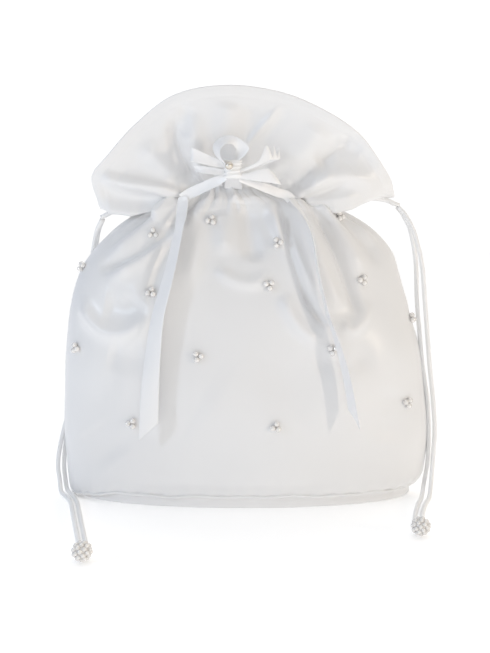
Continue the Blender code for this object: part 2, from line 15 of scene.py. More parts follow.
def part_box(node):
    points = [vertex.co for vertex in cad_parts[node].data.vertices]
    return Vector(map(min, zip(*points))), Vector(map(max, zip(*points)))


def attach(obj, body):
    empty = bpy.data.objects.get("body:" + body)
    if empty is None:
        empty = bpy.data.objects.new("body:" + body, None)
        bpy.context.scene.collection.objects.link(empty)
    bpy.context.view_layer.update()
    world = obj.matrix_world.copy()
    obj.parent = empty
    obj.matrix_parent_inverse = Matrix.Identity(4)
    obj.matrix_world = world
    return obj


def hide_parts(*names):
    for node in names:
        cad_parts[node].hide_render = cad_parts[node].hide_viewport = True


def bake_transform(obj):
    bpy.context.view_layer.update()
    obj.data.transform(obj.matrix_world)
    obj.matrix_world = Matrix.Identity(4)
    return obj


MM = 0.001

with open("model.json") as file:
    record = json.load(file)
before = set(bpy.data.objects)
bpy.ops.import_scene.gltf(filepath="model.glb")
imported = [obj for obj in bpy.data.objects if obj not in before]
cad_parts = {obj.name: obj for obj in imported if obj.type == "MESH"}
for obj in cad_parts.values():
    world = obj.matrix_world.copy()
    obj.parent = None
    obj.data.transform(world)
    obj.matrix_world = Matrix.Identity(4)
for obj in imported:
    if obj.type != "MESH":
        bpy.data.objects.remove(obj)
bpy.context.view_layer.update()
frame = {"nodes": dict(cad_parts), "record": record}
JOINTS = {j["name"]: j for j in frame["record"]["behaviour"]["joints"]}
MID = np.array([*JOINTS["frill_open"]["pos_m"][:2], 0.0])


def place(points):
    """Millimetres from the mid-plane to metres in the frame."""
    return np.asarray(points, float) * MM + MID


# ---------------------------------------------------------------- camera, light and floor

CAMERA_AT = (-0.25, -600.3, 150.0)  # mm from the mid-plane
CAMERA_LOOKS_AT = (0.25, -0.3, 90.0)
LENS = 62.4
FRONT_FILL = 0.165  # how bright the room is on the viewer's side
BACK_FILL = 1.06  # and behind the bag
TOP_FILL = 0.30  # how much more comes from overhead
COOL = (0.10, 0.15, 0.26, 1.0)  # the room to the left, and below it the room to the right
WARM = (0.56, 0.49, 0.39, 1.0)
FLOOR_REACH = 4.0  # m from the middle to each edge
FLOOR_GLOW = 0.28  # how much the white floor gives off


def add_camera():
    data = bpy.data.cameras.new("camera")
    data.lens = LENS
    data.clip_start = 0.01
    data.clip_end = 10
    camera = bpy.data.objects.new("camera", data)
    bpy.context.scene.collection.objects.link(camera)
    camera.location = place(CAMERA_AT)
    way = Vector(place(CAMERA_LOOKS_AT)) - Vector(place(CAMERA_AT))
    camera.rotation_euler = way.to_track_quat("-Z", "Y").to_euler()
    bpy.context.scene.camera = camera


def add_light(name, at, aim, size, power, colour):
    data = bpy.data.lights.new(name, "AREA")
    data.shape = "RECTANGLE"
    data.size, data.size_y = size
    data.energy = power
    data.color = colour
    light = bpy.data.objects.new(name, data)
    bpy.context.scene.collection.objects.link(light)
    light.location = at
    light.rotation_euler = (Vector(aim) - Vector(at)).to_track_quat("-Z", "Y").to_euler()


def map_range(tree, value, given, wanted):
    inputs = {"Value": value, "From Min": given[0], "From Max": given[1]}
    inputs.update({"To Min": wanted[0], "To Max": wanted[1]})
    return node(tree, "ShaderNodeMapRange", inputs).outputs["Result"]


def add_studio():
    """A white room that is dim on the viewer's side, three lamps and a pale paper floor."""
    world = bpy.data.worlds.new("studio")
    bpy.context.scene.world = world
    world.use_nodes = True
    tree = world.node_tree
    background = tree.nodes["Background"]
    toward = node(tree, "ShaderNodeTexCoord").outputs["Generated"]
    parts = node(tree, "ShaderNodeSeparateXYZ", {"Vector": toward}).outputs
    front = map_range(tree, parts["Y"], (-0.9, 0.5), (FRONT_FILL, BACK_FILL))
    above = map_range(tree, parts["Z"], (0.0, 0.9), (0.0, TOP_FILL))
    total = node(tree, "ShaderNodeMath", {0: front, 1: above}, operation="ADD")
    tree.links.new(total.outputs["Value"], background.inputs["Strength"])
    sideways = map_range(tree, parts["X"], (-0.9, 0.9), (0.0, 1.0))
    tint = node(tree, "ShaderNodeValToRGB", {"Fac": sideways})
    stops = tint.color_ramp.elements
    stops[0].position, stops[0].color = 0.0, COOL
    stops[1].position, stops[1].color = 1.0, WARM
    for position in (0.3, 0.7):
        stops.new(position).color = (1.0, 1.0, 1.0, 1.0)
    tree.links.new(tint.outputs["Color"], background.inputs["Color"])
    bpy.context.scene.view_settings.view_transform = "Standard"
    middle = (0.0, 0.0, 0.11)
    add_light("key_left", (-0.86, -0.56, 0.42), middle, (0.10, 0.12), 1.7, (0.74, 0.85, 1.0))
    add_light("warm_right", (0.80, -0.62, 0.22), middle, (0.05, 0.08), 1.55, (1.0, 0.86, 0.70))
    add_light("soft_top", (0.05, -1.10, 0.34), middle, (0.7, 0.5), 0.85, (1.0, 0.985, 0.965))
    mesh = bpy.data.meshes.new("floor")
    corners = [(x * FLOOR_REACH, y * FLOOR_REACH, 0) for x, y in ((-1, -1), (1, -1), (1, 1), (-1, 1))]
    mesh.from_pydata(corners, [], [(0, 1, 2, 3)])
    floor = bpy.data.objects.new("floor", mesh)
    bpy.context.scene.collection.objects.link(floor)
    material = bpy.data.materials.new("floor_paper")
    material.use_nodes = True
    shader = material.node_tree.nodes["Principled BSDF"]
    shader.inputs["Base Color"].default_value = (0.94, 0.94, 0.94, 1.0)
    shader.inputs["Roughness"].default_value = 0.9
    shader.inputs["Specular IOR Level"].default_value = 0.1
    shader.inputs["Emission Color"].default_value = (1.0, 1.0, 1.0, 1.0)
    shader.inputs["Emission Strength"].default_value = FLOOR_GLOW
    mesh.materials.append(material)


# ---------------------------------------------------------------- materials


def new_material(name):
    material = bpy.data.materials.new(name)
    material.use_nodes = True
    return material, material.node_tree, material.node_tree.nodes["Principled BSDF"]


def node(tree, kind, inputs=(), **settings):
    made = tree.nodes.new(kind)
    for key, value in settings.items():
        setattr(made, key, value)
    for key, value in dict(inputs).items():
        if isinstance(value, bpy.types.NodeSocket):
            tree.links.new(value, made.inputs[key])
        else:
            made.inputs[key].default_value = value
    return made


def ramp(tree, factor, low, high, low_at=0.3, high_at=0.7):
    made = node(tree, "ShaderNodeValToRGB", {"Fac": factor})
    stops = made.color_ramp.elements
    stops[0].position, stops[0].color = low_at, (*low, 1.0)
    stops[1].position, stops[1].color = high_at, (*high, 1.0)
    return made.outputs["Color"]


def add_bump(tree, shader, height, strength, distance):
    inputs = {"Height": height, "Strength": strength, "Distance": distance * MM}
    tree.links.new(node(tree, "ShaderNodeBump", inputs).outputs["Normal"], shader.inputs["Normal"])


def cloth_material(name, low, high, roughness, thread, weave, sheen):
    """Woven cloth: two sets of threads, a slow change of tint and lustre, and fine slubs."""
    material, tree, shader = new_material(name)
    uv = node(tree, "ShaderNodeTexCoord").outputs["UV"]
    place_of = node(tree, "ShaderNodeTexCoord").outputs["Object"]
    turns = 2 * math.pi / (thread * MM) / 20
    warp = node(tree, "ShaderNodeTexWave", {"Vector": uv, "Scale": turns}, bands_direction="X")
    weft = node(tree, "ShaderNodeTexWave", {"Vector": uv, "Scale": turns * 0.55}, bands_direction="Y")
    slub = node(tree, "ShaderNodeTexNoise", {"Vector": place_of, "Scale": 260.0, "Detail": 4.0})
    slow = node(tree, "ShaderNodeTexNoise", {"Vector": place_of, "Scale": 14.0, "Detail": 3.0})
    shader_colour = ramp(tree, slow.outputs["Fac"], low, high)
    tree.links.new(shader_colour, shader.inputs["Base Color"])
    lustre = map_range(tree, slub.outputs["Fac"], (0.0, 1.0), (roughness - 0.05, roughness + 0.06))
    tree.links.new(lustre, shader.inputs["Roughness"])
    threads = node(
        tree, "ShaderNodeMath", {0: warp.outputs["Fac"], 1: weft.outputs["Fac"]}, operation="ADD"
    )
    uneven = node(
        tree, "ShaderNodeMath", {0: threads.outputs[0], 1: slub.outputs["Fac"]}, operation="ADD"
    )
    add_bump(tree, shader, uneven.outputs[0], weave, 0.04)
    shader.inputs["Sheen Weight"].default_value = sheen
    shader.inputs["Sheen Roughness"].default_value = 0.35
    shader.inputs["Specular IOR Level"].default_value = 0.5
    return material


def pearl_material(name, front, middle, rim_shade, metallic):
    """Nacre under a clear coat, with painted shade: its tint turns darker and greyer towards the bead's
    edge as the surface turns from the viewer, mottled by a fine cloud.
    """
    material, tree, shader = new_material(name)
    facing = node(tree, "ShaderNodeLayerWeight", {"Blend": 0.35}).outputs["Facing"]
    place_of = node(tree, "ShaderNodeTexCoord").outputs["Object"]
    cloud = node(tree, "ShaderNodeTexNoise", {"Vector": place_of, "Scale": 500.0, "Detail": 3.0})
    mixed = node(
        tree, "ShaderNodeMath", {0: facing, 1: cloud.outputs["Fac"], 2: 0.0}, operation="MULTIPLY_ADD"
    )
    # Painted shade: facing runs from 0 where the surface faces the viewer to 1 at the rim, and this
    # ramp darkens and greys the colour along it
    tint = node(tree, "ShaderNodeValToRGB", {"Fac": mixed.outputs[0]})
    stops = tint.color_ramp.elements
    stops[0].position, stops[0].color = 0.0, (*front, 1.0)
    stops[1].position, stops[1].color = 0.8, (*rim_shade, 1.0)
    stops.new(0.35).color = (*middle, 1.0)
    tree.links.new(tint.outputs["Color"], shader.inputs["Base Color"])
    add_bump(tree, shader, cloud.outputs["Fac"], 0.08, 0.02)
    shader.inputs["Roughness"].default_value = 0.18
    shader.inputs["Metallic"].default_value = metallic
    shader.inputs["Coat Weight"].default_value = 0.8
    shader.inputs["Coat Roughness"].default_value = 0.06
    shader.inputs["Specular IOR Level"].default_value = 0.7
    return material


def board_material():
    material, tree, shader = new_material("board_card")
    place_of = node(tree, "ShaderNodeTexCoord").outputs["Object"]
    fibres = node(tree, "ShaderNodeTexNoise", {"Vector": place_of, "Scale": 900.0, "Detail": 6.0})
    tint = ramp(tree, fibres.outputs["Fac"], (0.62, 0.60, 0.56), (0.80, 0.79, 0.76))
    tree.links.new(tint, shader.inputs["Base Color"])
    add_bump(tree, shader, fibres.outputs["Fac"], 0.3, 0.05)
    shader.inputs["Roughness"].default_value = 0.85
    return material


# Darkest and lightest tint, roughness, thread in mm, weave, sheen
SATIN = cloth_material("duchess_satin", (0.83, 0.83, 0.835), (0.86, 0.86, 0.862), 0.33, 0.28, 0.05, 0.2)
LINING = cloth_material("plain_lining", (0.72, 0.72, 0.72), (0.78, 0.78, 0.78), 0.6, 0.35, 0.35, 0.1)
RIBBON = cloth_material(
    "satin_ribbon", (0.90, 0.90, 0.905), (0.93, 0.93, 0.932), 0.335, 0.22, 0.025, 0.2
)
CORD = cloth_material("satin_cord", (0.90, 0.90, 0.90), (0.94, 0.94, 0.94), 0.36, 0.30, 0.5, 0.25)
# The last colour given to each pearl material is its painted shade at the rim
PEARL = pearl_material("pearl_nacre", (0.90, 0.885, 0.86), (0.78, 0.75, 0.73), (0.50, 0.50, 0.51), 0.1)
BRONZE_PEARL = pearl_material(
    "bronze_pearl", (0.80, 0.75, 0.67), (0.60, 0.53, 0.45), (0.30, 0.27, 0.25), 0.5
)
BOARD = board_material()

# ---------------------------------------------------------------- geometry helpers


def spline(knots, t, first=None, last=None):
    """Points at t, from 0 to 1, on the Catmull-Rom curve through the knots."""
    rows = np.asarray(knots, float)
    before = 2 * rows[0] - rows[1] if first is None else np.asarray(first, float)
    after = 2 * rows[-1] - rows[-2] if last is None else np.asarray(last, float)
    rows = np.vstack([before, rows, after])
    spans = len(rows) - 3
    at = np.clip(np.asarray(t, float), 0, 1) * spans
    i = np.minimum(at.astype(int), spans - 1)
    f = (at - i)[..., None]
    p0, p1, p2, p3 = rows[i], rows[i + 1], rows[i + 2], rows[i + 3]
    square = 2 * p0 - 5 * p1 + 4 * p2 - p3
    cube = 3 * p1 - p0 - 3 * p2 + p3
    return 0.5 * (2 * p1 + (p2 - p0) * f + square * f**2 + cube * f**3)


def even_points(knots, spacing):
    fine = spline(knots, np.linspace(0, 1, 60 * len(knots)))
    steps = np.linalg.norm(np.diff(fine, axis=0), axis=1)
    along = np.concatenate([[0], np.cumsum(steps)])
    stops = np.linspace(0, along[-1], max(2, round(along[-1] / spacing) + 1))
    return np.column_stack([np.interp(stops, along, fine[:, k]) for k in range(3)])


def grid_normals(grid, closed):
    """Unit normals of a (rows, columns, 3) grid, as columns cross rows."""
    along = np.roll(grid, -1, 1) - np.roll(grid, 1, 1) if closed else np.gradient(grid, axis=1)
    up = np.gradient(grid, axis=0)
    normals = np.cross(along, up)
    return normals / np.maximum(np.linalg.norm(normals, axis=2, keepdims=True), 1e-9)


def grid_mesh(name, grid, closed, material):
    """A mesh of quads over the grid, with UVs in metres along it and up it."""
    rows, columns = grid.shape[:2]
    index = np.arange(rows * columns).reshape(rows, columns)
    right = np.roll(index, -1, 1) if closed else index[:, 1:]
    here = index if closed else index[:, :-1]
    faces = np.stack([here[:-1], right[:-1], right[1:], here[1:]], -1).reshape(-1, 4)
    mesh = bpy.data.meshes.new(name)
    mesh.from_pydata(place(grid.reshape(-1, 3)), [], faces.tolist())
    middle = grid[rows // 2]
    across = np.concatenate([[0], np.cumsum(np.linalg.norm(np.diff(middle, axis=0), axis=1))])
    side = grid[:, columns // 2]
    up = np.concatenate([[0], np.cumsum(np.linalg.norm(np.diff(side, axis=0), axis=1))])
    if closed:
        across = np.append(across, across[-1] + np.linalg.norm(middle[0] - middle[-1]))
    cells = across.size - 1
    u = np.stack([across[:-1], across[1:], across[1:], across[:-1]], -1)
    u = np.broadcast_to(u[None, :cells], (rows - 1, cells, 4))
    v = np.stack([up[:-1], up[:-1], up[1:], up[1:]], -1)[:, None]
    v = np.broadcast_to(v, (rows - 1, cells, 4))
    layer = mesh.uv_layers.new(name="UVMap")
    layer.data.foreach_set("uv", (np.stack([u, v], -1) * MM).reshape(-1).astype(np.float32))
    mesh.materials.append(material)
    mesh.shade_smooth()
    return mesh


def add_piece(name, mesh):
    obj = bpy.data.objects.new(name, mesh)
    bpy.context.scene.collection.objects.link(obj)
    return obj


def finished(bm, name, material):
    """Turns the bmesh into a smooth mesh of one material."""
    mesh = bpy.data.meshes.new(name)
    bm.to_mesh(mesh)
    bm.free()
    mesh.materials.append(material)
    mesh.shade_smooth()
    return mesh


def tube_grid(points, radius, sides=14):
    """Rings round a centreline, turned as little as it allows, with its two ends drawn to a point."""
    points = np.asarray(points, float)
    ahead = np.gradient(points, axis=0)
    ahead /= np.linalg.norm(ahead, axis=1, keepdims=True)
    normal = np.cross(ahead[0], (0.3, 0.2, 0.93))
    angles = np.linspace(0, 2 * math.pi, sides, endpoint=False)
    rings = []
    radii = np.broadcast_to(radius, len(points))
    for point, way, reach in zip(points, ahead, radii):
        normal = normal - way * normal.dot(way)
        normal /= np.linalg.norm(normal)
        other = np.cross(way, normal)
        ring = np.outer(np.cos(angles), normal) + np.outer(np.sin(angles), other)
        rings.append(point + reach * ring)
    ends = [np.repeat(points[i][None], sides, 0) for i in (0, -1)]
    return np.stack([ends[0] * 0.999 + rings[0] * 0.001, *rings, ends[1] * 0.999 + rings[-1] * 0.001])


def close_ends(mesh):
    """Welds the points that a tube's ends are drawn to."""
    bm = bmesh.new()
    bm.from_mesh(mesh)
    bmesh.ops.remove_doubles(bm, verts=bm.verts, dist=0.004 * MM)
    bmesh.ops.recalc_face_normals(bm, faces=bm.faces)
    bm.to_mesh(mesh)
    bm.free()


# ---------------------------------------------------------------- cords

CORD_DIAMETER = 2.4
LEFT_CORD_Z = 161.1
RIGHT_CORD_Z = 157.8
CORD_ROUTES = {
    "left_cord_outer": (
        (-74.9, -1.7, 146.9), (-78.5, 2.0, 140.0), (-81.5, 8.0, 128.0), (-84.9, 13.0, 112.0),
        (-87.6, 16.0, 94.0), (-89.9, 16.0, 76.0), (-92.7, 13.0, 58.0), (-96.0, 8.0, 42.0),
        (-99.0, 2.0, 28.0), (-100.3, -2.0, 16.0), (-98.8, -6.0, 8.0), (-97.2, -11.0, 2.8),
        (-93.0, -17.0, 1.3), (-89.6, -28.0, 1.3), (-86.4, -44.0, 1.3), (-83.2, -60.0, 1.3),
        (-79.8, -77.0, 1.3), (-76.6, -93.0, 1.4), (-74.0, -106.0, 1.8), (-72.4, -116.6, 3.4),
    ),
    "left_cord_inner": (
        (-74.9, 1.7, 146.9), (-78.0, 6.0, 140.0), (-80.5, 12.0, 128.0), (-83.4, 17.2, 112.0),
        (-86.0, 20.0, 94.0), (-88.2, 20.0, 76.0), (-91.0, 17.0, 58.0), (-94.2, 12.0, 43.0),
        (-96.8, 5.0, 28.0), (-97.4, 0.6, 16.0), (-96.4, -2.6, 8.0), (-94.6, -7.2, 3.0),
        (-90.6, -14.0, 1.3), (-86.6, -27.0, 1.3), (-83.4, -43.0, 1.3), (-80.2, -59.0, 1.3),
        (-76.8, -76.0, 1.3), (-73.6, -92.0, 1.4), (-71.0, -105.0, 1.8), (-69.2, -116.0, 3.4),
    ),
    "right_cord_outer": (
        (80.6, -1.7, 153.5), (84.5, -3.0, 149.0), (89.0, -4.5, 140.0), (93.0, -5.5, 124.0),
        (94.8, -6.0, 106.0), (96.2, -6.0, 90.0), (98.0, -6.0, 70.0), (100.0, -6.4, 52.0),
        (101.0, -7.4, 35.0), (100.0, -9.0, 19.0), (98.5, -13.0, 7.0), (96.5, -20.0, 1.8),
        (92.6, -32.0, 1.3), (89.2, -46.0, 1.3), (86.6, -60.0, 1.4), (84.6, -71.5, 1.8),
        (83.6, -78.4, 3.4),
    ),
    "right_cord_inner": (
        (80.6, 1.7, 153.5), (84.0, 1.5, 149.0), (88.0, 1.0, 140.0), (90.8, 0.0, 124.0),
        (91.4, -1.2, 106.0), (92.8, -1.4, 90.0), (94.9, -1.6, 70.0), (97.6, -2.0, 52.0),
        (98.6, -3.0, 35.0), (98.0, -5.2, 19.0), (95.4, -9.5, 7.0), (93.0, -17.5, 1.8),
        (89.4, -30.0, 1.3), (86.2, -44.0, 1.3), (83.4, -58.0, 1.4), (81.6, -70.5, 1.8),
        (80.6, -78.2, 3.4),
    ),
}
BALL_AT = {"left": (-70.2, -124.0, 5.0), "right": (82.0, -85.2, 5.0)}
BALL_RADIUS = 4.8
BALL_PEARL = 1.1  # one pearl's radius
BALL_PEARLS = 38
LEFT_LEAD = (
    (-74.0, -1.7, 148.6), (-70.0, -1.7, 150.6), (-63.0, -1.7, 152.8), (-55.0, -1.8, 154.8),
    (-47.0, -1.9, 157.2), (-41.0, -2.2, 159.4), (-36.6, -2.6, 160.9),
)
RIGHT_LEAD = (
    (79.2, -1.7, 154.9), (74.0, -1.7, 157.0), (65.0, -1.8, 157.8), (55.0, -1.9, 157.6),
    (44.0, -2.0, 157.6), (34.0, -2.2, 157.8), (26.2, -2.6, 157.8),
)
NECK_X = -5.5
RING_HALF_WIDTH = 26.8
RING_HALF_DEPTH = 9.4


def ball_mesh(name, at):
    """Pearls sewn all over a core, each turned a little so that no two rows line up."""
    bm = bmesh.new()
    reach = BALL_RADIUS - BALL_PEARL
    bmesh.ops.create_icosphere(bm, subdivisions=3, radius=reach * 0.93 * MM)
    for i in range(BALL_PEARLS):
        height = 1 - 2 * (i + 0.5) / BALL_PEARLS
        turn = math.pi * (3 - math.sqrt(5)) * i
        flat = math.sqrt(1 - height**2)
        way = Vector((flat * math.cos(turn), flat * math.sin(turn), height))
        spot = Matrix.Translation(way * reach * MM)
        facing = way.to_track_quat("Z", "Y").to_matrix().to_4x4()
        bmesh.ops.create_uvsphere(
            bm, u_segments=20, v_segments=12, radius=BALL_PEARL * 0.98 * MM, matrix=spot @ facing
        )
    bmesh.ops.translate(bm, verts=bm.verts, vec=Vector(place(at)))
    return finished(bm, name, PEARL)


def add_cords():
    for side in ("left", "right"):
        ball_at = BALL_AT[side]
        ball = add_piece(f"{side}_pearl_ball", ball_mesh(f"{side}_pearl_ball", ball_at))
        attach(ball, f"{side}_end")
        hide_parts(f"{side}_ball")
        for strand in ("outer", "inner"):
            name = f"{side}_cord_{strand}"
            last = 0.72 * np.array(ball_at) + 0.28 * np.array(CORD_ROUTES[name][-1])
            path = even_points([*CORD_ROUTES[name], last], 1.5)
            mesh = grid_mesh(f"{name}_satin", tube_grid(path, CORD_DIAMETER / 2), True, CORD)
            close_ends(mesh)
            piece = add_piece(f"{name}_satin", mesh)
            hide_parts(name)
            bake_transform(piece)
    add_drawcord("left_drawcord", LEFT_LEAD, LEFT_CORD_Z, math.pi)
    add_drawcord("right_drawcord", RIGHT_LEAD, RIGHT_CORD_Z, 0.0)


def add_drawcord(name, lead, height, start):
    """The held part of a cord: from the frill's corner, through the casing and back."""
    turn = 0.62
    angles = np.linspace(start + turn, start + 2 * math.pi - turn, 17)
    ring = [
        (NECK_X + RING_HALF_WIDTH * math.cos(a), RING_HALF_DEPTH * math.sin(a), height) for a in angles
    ]
    ring = ring if start == math.pi else ring[::-1]
    back = [(x, -y, z) for x, y, z in reversed(lead)]
    first = np.array(lead[0]) * 2 - np.array(lead[1])
    path = even_points([0.4 * first + 0.6 * np.array(lead[0]), *lead, *ring, *back], 1.6)
    mesh = grid_mesh(f"{name}_satin", tube_grid(path, CORD_DIAMETER / 2), True, CORD)
    close_ends(mesh)
    piece = add_piece(f"{name}_satin", mesh)
    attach(piece, "bag")
    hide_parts(name)


add_camera()
add_studio()
add_cords()

# ---------------------------------------------------------------- pouch and casing

# Height, half-width to the left, half-width to the right and half-depth
POUCH_STATIONS = (
    (5.6, 92.6, 91.8, 35.8), (8.5, 94.2, 94.6, 36.4), (14.0, 94.8, 96.2, 36.9),
    (30.0, 95.2, 96.8, 37.9), (52.0, 95.6, 96.0, 38.9), (78.0, 95.0, 92.6, 38.6),
    (100.0, 93.2, 86.4, 36.6), (118.0, 87.2, 81.6, 32.8), (130.0, 79.6, 78.0, 28.4),
    (140.0, 70.2, 69.8, 24.0), (148.0, 58.5, 57.0, 20.2), (152.8, 49.0, 46.0, 19.4),
    (156.0, 43.0, 38.6, 18.2), (158.4, 38.6, 32.2, 16.6), (160.6, 35.2, 26.0, 14.4),
    (162.6, 34.0, 23.4, 12.6), (164.0, 34.0, 23.0, 12.2), (165.2, 34.2, 23.2, 12.2),
)
CLOTH_THICKNESS = 0.6
LINING_GAP = 1.6  # between the satin's face and the lining's
NECK_ROW = 13  # the station where the pouch meets the casing
LEFT_SLUMP = 4.6  # how far the pouch's lower left corner sags over the base
RIGHT_RISE = 1.2

# Folds, as points of x and height, half-width, and how far the fold stands out; valleys are negative
# Each fold's line (x and z), its width, and its height: a ridge above 0, a valley below
FRONT_FOLDS = (
    (((-48, 147), (-40, 153), (-31, 161)), 3.4, 3.8),
    (((27, 161), (35, 155), (45, 149)), 3.6, 4.2),
    (((-31, 154), (-40, 141), (-53, 130), (-66, 124), (-76, 120)), 3.2, -4.2),
    (((-34, 155), (-55, 139), (-72, 127)), 4.2, 2.6),
    (((-33, 147), (-45, 133), (-59, 123), (-72, 115)), 4.2, 3.6),
    (((-35, 142), (-42, 127), (-46, 114), (-50, 103)), 4.0, -4.0),
    (((-84, 108), (-81, 97), (-72, 90), (-61, 89), (-51, 95), (-46, 102)), 4.2, 3.0),
    (((-72, 104), (-60, 102), (-52, 108)), 7.5, -2.4),
    (((-70, 80), (-58, 77), (-50, 82)), 7.0, -1.6),
    (((-25, 154), (-24, 141), (-26, 126), (-31, 108)), 5.0, 2.6),
    (((-13, 152), (-11, 140), (-10, 128)), 4.5, 2.2),
    (((-2, 160), (2, 143), (4, 133), (4, 125)), 5.5, -4.0),
    (((-15, 123), (-5, 116.5), (6, 115.5), (14, 122)), 3.2, 2.2),
    (((-6, 164), (-4.5, 156), (-4, 149)), 1.7, -2.0),
    (((12, 156), (17, 143), (23.5, 131), (29.6, 117), (34, 109)), 3.6, 4.4),
    (((18.5, 153), (21.5, 136), (26, 122), (32, 106), (39, 96.5), (43, 96)), 2.2, -4.9),
    (((25, 157), (34, 139), (39, 123), (45, 108), (48, 99)), 4.0, 3.6),
    (((26, 160), (37, 149.5), (45, 134), (51, 120), (56, 105), (56.5, 97)), 2.3, -4.6),
    (((34, 157), (46, 143.5), (55.5, 128), (62, 115)), 4.6, 3.2),
    (((19, 110), (24, 98), (32.5, 89), (42, 86.5)), 3.6, 3.2),
    (((48, 95), (53.5, 91), (59, 95), (64, 106)), 3.6, 2.6),
    (((34, 78), (52, 75), (68, 78)), 7.0, -1.5),
    (((40, 155), (54, 145), (70, 134)), 3.0, 1.8),
    (((46, 151), (60, 138), (72, 122)), 4.0, -2.4),
    (((-44, 152), (-60, 141), (-76, 131)), 3.2, -1.8),
    (((-20, 60), (0, 50), (24, 58)), 26.0, 1.2),
    (((-80, 40), (-66, 22)), 12.0, -1.2),
    (((78, 60), (72, 30)), 12.0, -1.4),
    (((-60, 12), (0, 12), (60, 12)), 3.0, -0.7),
)
BACK_FOLD_SCALE = 0.9
FOLD_PIECES = 14


def fold_field(x, z, folds):
    """The height of all the folds at each x and z, with each fold fading in and out along its line."""
    total = np.zeros_like(x)
    for route, width, height in folds:
        line = spline(np.array(route, float), np.linspace(0, 1, FOLD_PIECES + 1))
        nearest = np.full(x.shape, 1e9)
        along = np.zeros_like(x)
        for i, (start, end) in enumerate(zip(line[:-1], line[1:])):
            way = end - start
            share = ((x - start[0]) * way[0] + (z - start[1]) * way[1]) / way.dot(way)
            share = np.clip(share, 0, 1)
            distance = (x - start[0] - share * way[0]) ** 2 + (z - start[1] - share * way[1]) ** 2
            closer = distance < nearest
            nearest = np.where(closer, distance, nearest)
            along = np.where(closer, (i + share) / FOLD_PIECES, along)
        fade = smooth(np.minimum(along / 0.25 + 0.2, (1 - along) / 0.35 + 0.05))
        total += height * np.exp(-nearest / width**2) * fade
    return total


def smooth(share):
    share = np.clip(share, 0, 1)
    return share * share * (3 - 2 * share)


def gather(turn):
    """A row of gathers: rounded ridges with narrow valleys between them."""
    return np.abs(np.sin(turn / 2)) * 2 - 1.27


def pleats(angle, below):
    """Gathers below the neck: many small ones at the stitching, fewer and longer ones further down."""
    drift = 0.35 * np.sin(3 * angle + 0.7) + 0.22 * np.sin(5 * angle + 2.1)
    fine = 0.35 * gather(46 * angle + 6 * drift) * np.exp(-below / 6.0)
    medium = 1.0 * gather(24 * angle + 9 * drift + 1.3) * np.exp(-below / 12.0)
    coarse = 1.1 * np.cos(13 * angle + 5 * drift + 0.4) * np.exp(-((below - 12) / 15.0) ** 2)
    return fine + medium + coarse


def pouch_grid(columns=560, rows=300):
    knots = len(POUCH_STATIONS) - 1
    even = np.linspace(0, 1, rows)
    v = even**0.72
    heights, left, right, depth = spline(POUCH_STATIONS, v).T
    angle = np.linspace(0, 2 * math.pi, columns, endpoint=False)
    half = ((left + right) / 2)[:, None]
    centre = ((right - left) / 2)[:, None]
    grid = np.stack(
        [
            centre + half * np.cos(angle)[None],
            depth[:, None] * np.sin(angle)[None],
            np.broadcast_to(heights[:, None], (rows, columns)),
        ],
        -1,
    )
    normals = grid_normals(grid, True)
    steps = np.hypot(np.diff(heights), np.diff((left + right) / 4 + depth / 2))
    along = np.concatenate([[0], np.cumsum(steps)])
    neck_at = np.interp(NECK_ROW / knots, v, along)
    below = np.clip(neck_at - along, 0, None)[:, None] * np.ones(columns)[None]
    turned = angle[None] * np.ones(rows)[:, None]
    x, y, z = grid[..., 0], grid[..., 1], grid[..., 2]
    front = fold_field(x, z, FRONT_FOLDS)
    back = BACK_FOLD_SCALE * fold_field(-x, z - 2, FRONT_FOLDS)
    blend = 0.5 + 0.5 * np.tanh(y / 6.0)
    inside_pouch = np.clip(below / 5.0, 0, 1)
    folds = (front * (1 - blend) + back * blend) * inside_pouch
    slack = 0.5 * np.sin(x / 17 + z / 23) + 0.35 * np.sin(x / 11 - z / 14 + 1.2)
    slack = slack + 0.25 * np.sin(z / 7 + x / 30)
    slack = slack * np.clip(below / 40.0, 0, 1) * np.clip((z - 8) / 16, 0, 1)
    seam = -1.0 * (np.exp(-((y / 1.1) ** 2)) - 0.7 * np.exp(-((y / 3.2) ** 2)))
    seam = seam * np.clip((z - 4) / 10, 0, 1)
    seam = seam * np.clip(below / 12, 0, 1)
    pucker = 0.35 * np.cos(52 * turned + 3 * np.sin(4 * turned))
    pucker = pucker * np.exp(-np.clip(z - 5.6, 0, None) / 3.2)
    casing = np.clip((along - neck_at) / 2.5, 0, 1)[:, None]
    stitched = np.exp(-((z - 163.9) / 0.9) ** 2)
    neck_ease = 1.0 - 0.25 * casing
    move = folds + pleats(turned, below) * neck_ease + slack + seam + pucker - 0.5 * stitched
    move = np.clip(move, -7.5, 6.0)
    grid = grid + normals * move[..., None]
    low = np.clip((22 - grid[..., 2]) / 16, 0, 1) ** 2
    left_end = np.clip((-grid[..., 0] - 62) / 30, 0, 1)
    right_end = np.clip((grid[..., 0] - 70) / 24, 0, 1)
    grid[..., 2] += low * (RIGHT_RISE * right_end**2 - LEFT_SLUMP * left_end**2 * (3 - 2 * left_end))
    return grid


def add_pouch():
    outer = pouch_grid()
    mesh = grid_mesh("pouch_cloth", outer, True, SATIN)
    pouch = add_piece("pouch_cloth", mesh)
    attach(pouch, "bag")
    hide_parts("body_front", "body_back", "casing_front", "casing_back")
    thickness = pouch.modifiers.new("Thickness", "SOLIDIFY")
    thickness.thickness = CLOTH_THICKNESS * MM
    thickness.offset = -1
    coarse = outer[::4, ::4]
    inner = coarse - grid_normals(coarse, True) * LINING_GAP
    mesh = grid_mesh("lining_cloth", inner[2:-3, ::-1], True, LINING)
    lining = add_piece("lining_cloth", mesh)
    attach(lining, "bag")
    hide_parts("lining_front", "lining_back")
    return outer


# ---------------------------------------------------------------- base


